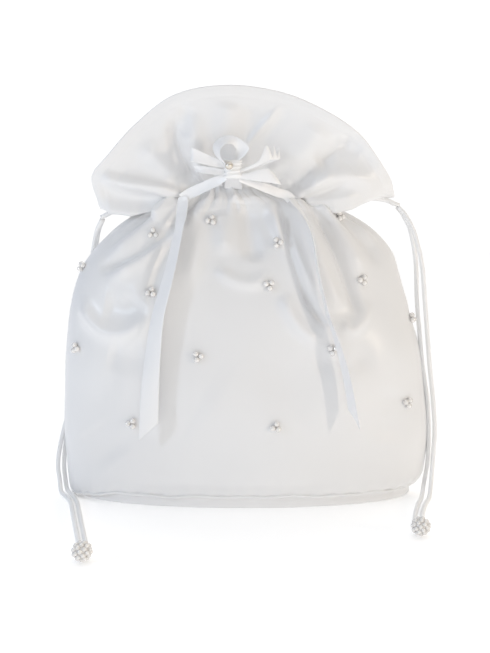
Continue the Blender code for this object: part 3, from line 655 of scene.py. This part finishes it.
def base_outline(share, height, columns, grow=0.0):
    """The base's oval at a share of its size."""
    _, left, right, depth = POUCH_STATIONS[0]
    angle = np.linspace(0, 2 * math.pi, columns, endpoint=False)
    half, centre = (left + right) / 2 + grow, (right - left) / 2
    x = centre + share * half * np.cos(angle)
    y = share * (depth + grow) * np.sin(angle)
    return np.stack([x, y, np.full(columns, height)], -1)


# Share of the oval's size, and height
BASE_RINGS = (
    (0.992, 6.3), (0.974, 5.7), (0.966, 4.8), (0.967, 3.4), (0.968, 2.2), (0.965, 1.1), (0.958, 0.35),
    (0.945, 0.02), (0.88, 0.0), (0.7, 0.0), (0.45, 0.0), (0.2, 0.0), (0.02, 0.0),
)


def add_base():
    columns = 360
    angle = np.linspace(0, 2 * math.pi, columns, endpoint=False)
    rows = []
    for share, height in BASE_RINGS:
        row = base_outline(share, height, columns)
        edge = max(0.0, (share - 0.93) / 0.07)
        row[:, :2] *= (1 + 0.0025 * edge * np.cos(46 * angle + 2.5 * np.sin(3 * angle)))[:, None]
        if height == 0.0 and share > 0.3:
            row[:, 2] += 0.22 * (1 - edge) * (0.5 + 0.5 * np.sin(5 * angle + 9 * share))
        rows.append(row)
    grid = np.stack(rows)[::-1]
    mesh = grid_mesh("base_cloth", grid, True, SATIN)
    base = add_piece("base_cloth", mesh)
    thickness = base.modifiers.new("Thickness", "SOLIDIFY")
    thickness.thickness = CLOTH_THICKNESS * MM
    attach(base, "bag")
    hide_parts("base_panel")
    line = base_outline(1.0, 6.2, 420, 0.3)
    around = np.linspace(0, 2 * math.pi, 420, endpoint=False)
    line[:, 2] += 0.5 * np.sin(9 * around + 1.2) * np.sin(4 * around) + 0.25 * np.sin(23 * around)
    line[:, :2] *= (1 + 0.002 * np.sin(17 * around))[:, None]
    left_end = np.clip((-line[:, 0] - 62) / 30, 0, 1)
    line[:, 2] -= 0.85 * LEFT_SLUMP * left_end**2 * (3 - 2 * left_end)
    line[:, 2] += RIGHT_RISE * np.clip((line[:, 0] - 70) / 24, 0, 1) ** 2
    line = np.vstack([line, line[:1]])
    swell = 0.72 + 0.1 * np.sin(np.linspace(0, 140 * math.pi, len(line)))
    tube = tube_grid(line, swell, 12)[1:-1]
    piping = add_piece("base_piping_cloth", grid_mesh("base_piping_cloth", tube, True, SATIN))
    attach(piping, "bag")
    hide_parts("base_piping")
    frame["nodes"]["base_board"].data.materials.clear()
    frame["nodes"]["base_board"].data.materials.append(BOARD)
    frame["nodes"]["lining_base"].data.materials.clear()
    frame["nodes"]["lining_base"].data.materials.append(LINING)


# ---------------------------------------------------------------- frill

HEM_POINTS = (
    (-75.0, -0.3, 151.8), (-76.6, -7.5, 156.5), (-78.2, -14.5, 168.5), (-70.0, -17.5, 178.8),
    (-55.0, -21.0, 194.4), (-35.0, -25.0, 208.6), (-9.5, -27.0, 213.2), (17.0, -26.5, 210.0),
    (38.5, -24.5, 202.0), (56.0, -21.0, 191.2), (68.0, -16.0, 177.6), (75.5, -9.0, 167.0),
    (78.5, -0.3, 158.2),
)
FRILL_FOLDS = (
    (((-26, 166), (-32, 177), (-36, 189), (-35, 200)), 3.2, -5.2),
    (((-34, 168), (-44, 177), (-52, 188)), 6.0, 3.4),
    (((-20, 168), (-25, 184), (-24, 202)), 5.5, 3.4),
    (((-31, 188), (-31, 198), (-27, 205)), 4.0, -2.0),
    (((-13, 184), (-9, 198), (-7, 207)), 6.0, 2.4),
    (((-1, 182), (3, 196), (5, 205)), 5.5, -2.4),
    (((0, 183), (10, 195), (19, 205)), 1.7, 1.7),
    (((7, 183), (17, 195), (24, 202)), 3.2, -1.4),
    (((22, 168), (34, 186), (40, 196)), 6.5, 3.0),
    (((24, 163), (29, 168), (35, 174)), 2.8, -2.0),
    (((37, 175), (44.5, 181), (54, 186)), 3.4, -4.8),
    (((48, 184), (59, 182), (70, 173)), 6.0, -3.6),
    (((30, 162), (42, 168), (56, 169), (70, 166)), 5.0, 4.4),
    (((50, 186), (60, 180)), 4.0, -2.0),
    (((27, 160), (38, 166), (46, 172)), 2.0, 1.4),
    (((28, 158), (42, 162), (54, 166)), 2.0, -1.6),
    (((29, 156), (46, 157), (60, 160)), 2.4, 1.4),
    (((-76, 169.5), (-62, 166), (-46, 162.5), (-29, 160)), 3.0, 5.2),
    (((-77, 160), (-60, 157), (-42, 156)), 4.6, -5.0),
)
# Where each lobe of the frill sags, as a share of the way round, its width, and how far it falls
# at each share of the way out
DRAPES = (
    (0.062, 0.052, ((0.0, 0.0), (0.05, 5.6), (0.2, 9.4), (0.6, 10.0), (0.85, 6.0), (1.0, 0.0))),
    (
        0.934,
        0.052,
        ((0.0, 0.0), (0.06, 6.6), (0.25, 11.6), (0.45, 14.2), (0.6, 12.4), (0.82, 6.2), (1.0, 0.0)),
    ),
    (0.17, 0.08, ((0.0, 0.0), (0.05, 6.6), (0.2, 8.0), (0.45, 4.0), (0.7, 0.0))),
    (0.83, 0.08, ((0.0, 0.0), (0.05, 6.8), (0.2, 8.6), (0.45, 5.0), (0.7, 0.0))),
)
# Where the frill leans forward, the width of that, and how far
PUSHES = ((0.14, 0.08, 3.0), (0.88, 0.09, 3.5))
FRILL_ROWS = 90
HEM_ROWS = 5
FACING_ROWS = 44


def frill_outer(columns, sign):
    """The outer face of one half, from the casing to the hem, with its folds."""
    u = np.linspace(0, 1, columns)
    angle = math.pi + math.pi * u
    first = np.array(HEM_POINTS[1]) * (1, -1, 1)
    last = np.array(HEM_POINTS[-2]) * (1, -1, 1)
    hem = spline(HEM_POINTS, u, first, last)
    neck = np.stack(
        [NECK_X + 28.9 * np.cos(angle), 12.3 * np.sin(angle), np.full(columns, 164.6)], -1
    )
    v = np.linspace(0, 1, FRILL_ROWS)[:, None, None]
    flare = v**1.25
    grid = neck[None] * (1 - flare) + hem[None] * flare
    grid[..., 2] += (v * (1 - v))[..., 0] * (10.0 * np.abs(np.sin(angle)) ** 1.5)[None]
    grid[..., 1] -= (v * (1 - v))[..., 0] * 5.0 * np.abs(np.sin(angle))[None]
    around = u[None]
    across = flare[..., 0]
    for middle, width, fall in DRAPES:
        stops, depths = np.array(fall).T
        lobe = np.exp(-(((around - middle) / width) ** 2))
        sag = np.interp(across, stops, depths) * lobe
        grid[..., 2] -= sag
        grid[..., 1] -= 0.5 * sag * np.clip(np.sin(math.pi * u) * 6, 0, 1)[None]
    for middle, width, reach in PUSHES:
        grid[..., 1] -= reach * np.sin(math.pi * across) * np.exp(-(((around - middle) / width) ** 2))
    normals = grid_normals(grid, False)
    x, z = grid[..., 0], grid[..., 2]
    rise = v[..., 0] * 52
    if sign < 0:
        folds = 0.88 * fold_field(x, z, FRILL_FOLDS)
    else:
        folds = 0.8 * fold_field(-x, z, FRILL_FOLDS)
    at_seam = np.clip(np.sin(math.pi * u) * 4, 0, 1)[None]
    gathers = 0.7 * np.cos(44 * angle[None] + 3) * np.exp(-rise / 6.0)
    gathers = gathers + 1.0 * np.cos(25 * angle[None] + 1.3 + sign) * np.exp(-rise / 13.0)
    gathers = gathers + 1.0 * np.cos(13 * angle[None] + 0.4) * np.exp(-(((rise - 16) / 14.0) ** 2))
    wave = 0.5 * np.sin(9 * math.pi * u + 0.8)[None] * v[..., 0] ** 2
    reach = np.clip(rise / 6.0, 0, 1) * (1 - 0.75 * v[..., 0] ** 6)
    move = (folds * reach + gathers + wave) * at_seam
    grid = grid + normals * np.clip(move, -6.0, 6.0)[..., None]
    grid[..., 1] = np.minimum(grid[..., 1], -0.12)
    return grid


def add_frill():
    columns = 420
    for side, sign in (("front", -1), ("back", 1)):
        outer = frill_outer(columns, sign)
        normals = grid_normals(outer, False)
        below_hem = np.linalg.norm(outer - outer[-1][None], axis=2)
        stitch = -0.15 * np.exp(-(((below_hem - 5.0) / 0.5) ** 2))
        stitch = stitch + 0.12 * np.exp(-(((below_hem - 2.6) / 1.6) ** 2))
        outer = outer + normals * stitch[..., None]
        lip = []
        for i in range(1, HEM_ROWS + 1):
            turn = math.pi * i / (HEM_ROWS + 1)
            up = outer[-1] - outer[-2]
            up = up / np.linalg.norm(up, axis=1, keepdims=True)
            inward = -normals[-1]
            lip.append(outer[-1] + 0.55 * (up * math.sin(turn) + inward * (1 - math.cos(turn))))
        picks = np.linspace(FRILL_ROWS - 1, 0, FACING_ROWS).astype(int)
        facing = outer[picks] - normals[picks] * 1.1
        facing[..., 1] = np.minimum(facing[..., 1], -0.1)
        grid = np.concatenate([outer, np.stack(lip), facing])
        if sign > 0:
            grid = grid[:, ::-1] * (1, -1, 1)
        mesh = grid_mesh(f"frill_{side}_cloth", grid, False, SATIN)
        frill = add_piece(f"frill_{side}_cloth", mesh)
        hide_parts(f"frill_{side}", f"frill_{side}_facing")
        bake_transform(frill)


# ---------------------------------------------------------------- bow and tails

RIBBON_WIDTH = 10.0
TAIL_THICKNESS = 0.28
BOW_THICKNESS = 0.25


def thicken(piece, thickness):
    solid = piece.modifiers.new("Thickness", "SOLIDIFY")
    solid.thickness = thickness * MM
    solid.offset = 0
    fine = piece.modifiers.new("Fine", "SUBSURF")
    fine.levels = fine.render_levels = 1


def ribbon_piece(name, line, across, widths, cup, columns=9):
    """A ribbon along the line, a little cupped, with a fine raised selvage at both edges."""
    line = np.asarray(line, float)
    across = np.asarray(across, float)
    across = across / np.linalg.norm(across, axis=1, keepdims=True)
    ahead = np.gradient(line, axis=0)
    ahead /= np.linalg.norm(ahead, axis=1, keepdims=True)
    face = np.cross(ahead, across)
    face /= np.linalg.norm(face, axis=1, keepdims=True)
    s = np.linspace(-1, 1, columns)
    widths = np.broadcast_to(widths, len(line))
    raised = cup * (1 - s**2) + 0.06 * np.exp(-(((np.abs(s) - 0.95) / 0.05) ** 2))
    sideways = across[:, None] * (widths[:, None] * s[None] / 2)[..., None]
    grid = line[:, None] + sideways + face[:, None] * raised[None, :, None]
    mesh = grid_mesh(name, grid, False, RIBBON)
    piece = add_piece(name, mesh)
    thicken(piece, TAIL_THICKNESS)
    return piece


def railed_ribbon(name, first, second, node_name, rows=44, columns=9, cup=0.3):
    """A ribbon between two edges, each a smooth line through its points."""
    t = np.linspace(0, 1, rows)
    one, two = spline(first, t), spline(second, t)
    s = np.linspace(0, 1, columns)[None, :, None]
    grid = one[:, None] * (1 - s) + two[:, None] * s
    normals = grid_normals(grid, False)
    crown = cup * (1 - (2 * s - 1) ** 2) + 0.07 * np.exp(-(((np.abs(2 * s - 1) - 0.93) / 0.06) ** 2))
    ripple = 0.12 * np.sin(9 * t)[:, None, None] * np.sin(5 * s + 1.0)
    mesh = grid_mesh(name, grid + normals * (crown + ripple), False, RIBBON)
    piece = add_piece(name, mesh)
    thicken(piece, BOW_THICKNESS)
    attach(piece, "bag")
    if node_name:
        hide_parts(node_name)
    return piece


BOW_LOOPS = {
    "bow_loop_top": (
        (
            (-9.6, -32.2, 174.6), (-14.6, -31.2, 179.0), (-15.6, -31.0, 183.6),
            (-12.4, -31.2, 187.2), (-7.4, -33.0, 188.4), (-2.6, -34.4, 187.0), (2.4, -36.2, 182.6),
            (0.6, -35.4, 178.8), (-3.2, -33.2, 175.6),
        ),
        (
            (-8.6, -34.6, 173.8), (-11.6, -37.8, 177.2), (-12.0, -38.4, 180.8),
            (-9.6, -37.4, 183.6), (-6.6, -35.8, 184.0), (-4.2, -33.4, 181.8), (-4.6, -31.4, 179.8),
            (-5.2, -30.6, 177.2), (-5.6, -31.0, 174.8),
        ),
    ),
    "bow_loop_left": (
        (
            (-9.6, -32.4, 175.2), (-14.0, -33.6, 177.2), (-19.4, -34.2, 179.6),
            (-25.4, -33.8, 182.2), (-26.6, -31.6, 182.0), (-24.4, -29.6, 181.0),
            (-18.2, -29.0, 178.6), (-10.0, -29.8, 175.0),
        ),
        (
            (-9.6, -32.8, 172.4), (-14.0, -34.2, 172.9), (-19.4, -34.8, 174.0),
            (-25.6, -34.2, 175.4), (-26.9, -31.8, 175.6), (-24.6, -29.6, 175.2),
            (-18.2, -29.2, 173.8), (-10.0, -29.8, 172.4),
        ),
    ),
    "bow_loop_lower_left": (
        (
            (-9.8, -31.4, 171.8), (-14.6, -31.2, 172.6), (-20.0, -30.4, 173.4),
            (-24.6, -28.6, 173.8), (-25.2, -27.0, 173.4), (-22.0, -26.4, 172.6),
            (-12.0, -28.4, 171.4),
        ),
        (
            (-9.8, -31.8, 169.2), (-14.6, -32.0, 169.2), (-19.6, -31.4, 169.6),
            (-23.4, -29.4, 170.6), (-24.4, -27.4, 171.0), (-21.6, -26.6, 170.6),
            (-12.0, -28.6, 169.2),
        ),
    ),
    "bow_loop_right": (
        (
            (-2.4, -32.6, 171.8), (3.0, -33.8, 173.6), (7.6, -34.4, 176.6), (10.9, -34.0, 183.8),
            (13.6, -32.4, 178.2), (14.6, -31.6, 183.8), (15.6, -30.6, 178.4), (17.3, -29.8, 183.0),
            (12.0, -29.2, 177.8), (5.0, -29.4, 174.6), (-1.8, -30.2, 171.6),
        ),
        (
            (-2.4, -33.2, 170.0), (3.2, -34.2, 171.9), (8.4, -34.6, 174.2), (12.6, -34.2, 176.2),
            (14.0, -32.8, 176.4), (15.4, -31.8, 176.6), (16.6, -30.8, 176.6), (17.5, -29.8, 176.9),
            (12.4, -29.2, 175.0), (5.4, -29.4, 172.4), (-1.8, -30.2, 169.8),
        ),
    ),
    "bow_loop_lower_right": (
        (
            (-2.2, -32.4, 169.4), (2.6, -33.2, 170.2), (7.0, -33.8, 171.6), (11.7, -33.6, 172.2),
            (14.8, -31.8, 169.6), (13.0, -29.8, 169.2), (6.0, -29.4, 169.2), (-1.8, -30.0, 168.6),
        ),
        (
            (-2.2, -32.8, 167.4), (2.6, -33.8, 166.6), (8.0, -34.2, 165.8), (15.2, -33.8, 164.6),
            (18.2, -31.8, 164.0), (15.8, -29.8, 164.6), (8.0, -29.4, 165.8), (-1.8, -30.0, 167.0),
        ),
    ),
    "bow_band_left": (
        (
            (-8.8, -30.8, 170.4), (-15.0, -27.8, 168.2), (-21.4, -23.4, 165.8),
            (-27.0, -19.0, 163.6), (-30.4, -17.4, 161.8), (-33.8, -16.6, 159.4),
        ),
        (
            (-8.6, -31.2, 166.6), (-13.4, -28.6, 163.6), (-19.4, -24.2, 161.0),
            (-24.4, -19.6, 158.6), (-27.4, -17.8, 157.4), (-28.6, -17.0, 155.6),
        ),
    ),
    "bow_band_right": (
        (
            (-2.6, -30.6, 168.4), (4.0, -27.4, 166.8), (11.0, -23.0, 165.0), (18.0, -18.8, 162.8),
            (22.4, -17.2, 161.4), (26.2, -16.6, 158.6),
        ),
        (
            (-3.0, -31.0, 165.6), (3.0, -28.2, 163.4), (9.4, -23.8, 160.8), (16.0, -19.4, 158.4),
            (19.6, -17.8, 157.4), (22.0, -17.0, 155.4),
        ),
    ),
}


BOW_STEM = (  # the ribbon that ties the knot to the gathered neck
    ((-9.6, -28.0, 171.2), (-9.8, -22.5, 168.8), (-10.2, -17.5, 165.8), (-10.6, -12.6, 162.6)),
    ((-2.6, -28.0, 170.6), (-2.2, -22.5, 168.2), (-1.6, -17.5, 165.2), (-1.0, -12.6, 162.0)),
)


def add_bow():
    for node_name, (first, second) in BOW_LOOPS.items():
        piece = railed_ribbon(f"{node_name}_ribbon", first, second, node_name)
    add_knot()
    stem = railed_ribbon("bow_stem_ribbon", *BOW_STEM, None, rows=20)


KNOT_AT = (-5.8, -31.0, 171.8)
KNOT_HALF_WIDTH = 4.9
KNOT_HALF_DEPTH = 3.2
KNOT_HALF_HEIGHT = 4.7
BOW_PEARL = 2.0  # its radius


def add_knot():
    """The wrap of ribbon round the bow's middle, with the creases that the pull leaves in it."""
    rows, columns = 36, 72
    angle = np.linspace(0, 2 * math.pi, columns, endpoint=False)
    tall = np.linspace(-1, 1, rows)
    grid = np.zeros((rows, columns, 3))
    for i, h in enumerate(tall):
        pinch = 1 - 0.16 * math.cos(math.pi * h / 2) ** 2
        edge = math.sqrt(max(0.0, 1 - max(0.0, abs(h) - 0.8) ** 2 / 0.04)) * 0.5 + 0.5
        wide = KNOT_HALF_WIDTH * pinch * edge
        deep = KNOT_HALF_DEPTH * edge
        crease = 0.16 * np.sin(7 * h * 2.2 + 0.9 * np.sin(angle)) + 0.1 * np.sin(15 * h + 2 * angle)
        power = 0.72
        cx = np.sign(np.cos(angle)) * np.abs(np.cos(angle)) ** power
        sy = np.sign(np.sin(angle)) * np.abs(np.sin(angle)) ** power
        grid[i, :, 0] = KNOT_AT[0] + (wide + crease) * cx
        grid[i, :, 1] = KNOT_AT[1] + (deep + crease) * sy
        grid[i, :, 2] = KNOT_AT[2] + KNOT_HALF_HEIGHT * h + 0.5 * np.cos(angle) * (1 - h * h)
    knot = add_piece("knot_wrap", grid_mesh("knot_wrap", grid, True, RIBBON))
    bm = bmesh.new()
    bm.from_mesh(knot.data)
    ends = [e for e in bm.edges if e.is_boundary]
    bmesh.ops.holes_fill(bm, edges=ends, sides=0)
    bmesh.ops.recalc_face_normals(bm, faces=bm.faces)
    bm.to_mesh(knot.data)
    bm.free()
    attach(knot, "bag")
    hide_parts("bow_knot")
    low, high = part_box("bow_pearl")
    centre = (low + high) / 2
    bm = bmesh.new()
    bmesh.ops.create_uvsphere(bm, u_segments=48, v_segments=32, radius=BOW_PEARL * MM)
    drill_pearl(bm, BOW_PEARL * MM)
    bmesh.ops.translate(bm, verts=bm.verts, vec=centre)
    pearl = add_piece("bow_pearl_bead", finished(bm, "bow_pearl_bead", BRONZE_PEARL))
    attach(pearl, "bag")
    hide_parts("bow_pearl")


def drill_pearl(bm, radius):
    """Dimples a bead's two poles, where its thread goes in."""
    for vertex in bm.verts:
        off_axis = math.hypot(vertex.co.x, vertex.co.y)
        if abs(vertex.co.z) > 0.5 * radius:
            dip = 0.22 * radius * math.exp(-((off_axis / (0.16 * radius)) ** 2))
            vertex.co.z -= math.copysign(dip, vertex.co.z)


# Where each tail hangs (x and z), how far its face is turned, in degrees, how far it stands off
# the pouch, and the length it is cut to, in metres
TAILS = {
    "tail_left": {
        "route": (
            (-31.4, 158.6), (-32.0, 151), (-33.2, 141.7), (-37.6, 120.3),
            (-43.2, 98.9), (-45.7, 80.2), (-47.3, 61.5), (-48.4, 36),
        ),
        "tilt": (30, 48, 60, 54, 45, 34, 20, 8),
        "off": (0.6, 0.8, 0.8, 1.0, 1.6, 2.8, 5.0, 7.5),
        "cut": 0.126,
    },
    "tail_right": {
        "route": (
            (23.8, 157.6), (29.5, 149.6), (33.6, 139), (37.0, 119),
            (41.4, 99.8), (46.6, 84.4), (51.2, 67), (55.6, 42),
        ),
        "tilt": (-52, -80, -90, -92, -98, -105, -110, -114),
        "off": (0.6, 0.8, 0.8, 1.0, 1.4, 2.2, 3.6, 5.5),
        "cut": 0.120,
    },
}
TAIL_NECK_WIDTH = 5.0


def front_depth(outer, x, z):
    """How far the folded pouch's front face stands from the mid-plane near x and z."""
    pts = outer.reshape(-1, 3)
    pts = pts[pts[:, 1] < 0]
    near = (pts[:, 0] - x) ** 2 + (pts[:, 2] - z) ** 2
    pick = near < max(3.0, near.min() + 0.5)
    return float(-pts[pick, 1].min())


def add_tails(outer):
    for name, tail in TAILS.items():
        count = 120
        t = np.linspace(0, 1, count)
        route = spline(np.array(tail["route"], float), t)
        keys = np.linspace(0, 1, 8)
        tilt = np.radians(np.interp(t, keys, tail["tilt"]))
        off = np.interp(t, keys, tail["off"])
        widths = TAIL_NECK_WIDTH + (RIBBON_WIDTH - TAIL_NECK_WIDTH) * np.clip(t / 0.2, 0, 1) ** 0.6
        rest = np.array([front_depth(outer, x, z) for x, z in route])
        spread = np.exp(-((np.arange(-14, 15) / 7.0) ** 2))
        padded = np.pad(rest, 14, mode="edge")
        eased = np.convolve(padded, spread / spread.sum(), mode="valid")
        rest = np.maximum(eased, rest - 0.3)
        out = rest + off + widths / 2 * np.abs(np.sin(tilt))
        out = np.maximum(out, 16.6)
        line = np.column_stack([route[:, 0], -out, route[:, 1]])
        across = np.column_stack([np.cos(tilt), -np.sin(tilt), 0.06 + 0 * t])
        piece = ribbon_piece(name + "_ribbon", line, across, widths, cup=0.5)
        cut_end(piece, line, across)
        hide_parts(name)
        body = "left_tail" if name == "tail_left" else "right_tail"
        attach(piece, body)


def cut_end(piece, line, across):
    """Cuts the ribbon's end on the slant."""
    mesh = piece.data
    bm = bmesh.new()
    bm.from_mesh(mesh)
    down = Vector(line[-1] - line[-4]).normalized()
    side = Vector(across[-1]).normalized()
    slant = (down + side * 0.9).normalized()
    at = Vector(place(line[-1])) - down * 5.0 * MM
    geometry = [*bm.verts, *bm.edges, *bm.faces]
    bmesh.ops.bisect_plane(bm, geom=geometry, plane_co=at, plane_no=slant, clear_outer=True)
    bm.to_mesh(mesh)
    bm.free()


# ---------------------------------------------------------------- pearls


CLUSTER_PEARL = 1.45  # one pearl's radius


def cluster_mesh(name, at, outward, turn):
    """Three pearls set in a triangle, each drilled at its poles, seated on the cloth."""
    bm = bmesh.new()
    radius = CLUSTER_PEARL
    facing = outward.to_track_quat("Z", "Y").to_matrix().to_4x4()
    seat = Matrix.Translation(Vector(place(at))) @ facing @ Matrix.Rotation(turn, 4, "Z")
    for i in range(3):
        angle = 2 * math.pi * i / 3
        apart = 2.02 * radius / math.sqrt(3)
        bead = bmesh.new()
        bmesh.ops.create_uvsphere(bead, u_segments=28, v_segments=18, radius=radius * MM)
        drill_pearl(bead, radius * MM)
        lay = Matrix.Translation(
            (apart * math.cos(angle) * MM, apart * math.sin(angle) * MM, radius * 0.9 * MM)
        )
        lay = lay @ Matrix.Rotation(angle + 0.4, 4, "Z") @ Matrix.Rotation(math.pi / 2, 4, "X")
        bmesh.ops.transform(bead, matrix=seat @ lay, verts=bead.verts)
        scratch = bpy.data.meshes.new("bead")
        bead.to_mesh(scratch)
        bead.free()
        bm.from_mesh(scratch)
        bpy.data.meshes.remove(scratch)
    return finished(bm, name, PEARL)


def add_clusters(outer):
    """Sews each cluster on the folded cloth nearest to where its CAD solid lies."""
    points = outer.reshape(-1, 3)
    normals = grid_normals(outer, True).reshape(-1, 3)
    names = sorted(n for n in frame["nodes"] if n.startswith("pearls_"))
    for number, name in enumerate(names):
        low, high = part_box(name)
        middle = (np.array((low + high) / 2) - MID) / MM
        sign = -1 if "front" in name else 1
        side = points[:, 1] * sign > 0
        apart = (points - middle) ** 2
        near = apart[:, 0] + apart[:, 2] + 0.2 * apart[:, 1]
        pick = np.argmin(np.where(side, near, 1e9))
        outward = Vector(normals[pick])
        mesh = cluster_mesh(f"{name}_beads", points[pick] + 0.05 * normals[pick], outward, 2.4 * number)
        piece = add_piece(f"{name}_beads", mesh)
        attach(piece, "bag")
        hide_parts(name)


pouch = add_pouch()
add_base()
add_frill()
add_bow()
add_tails(pouch)
add_clusters(pouch)
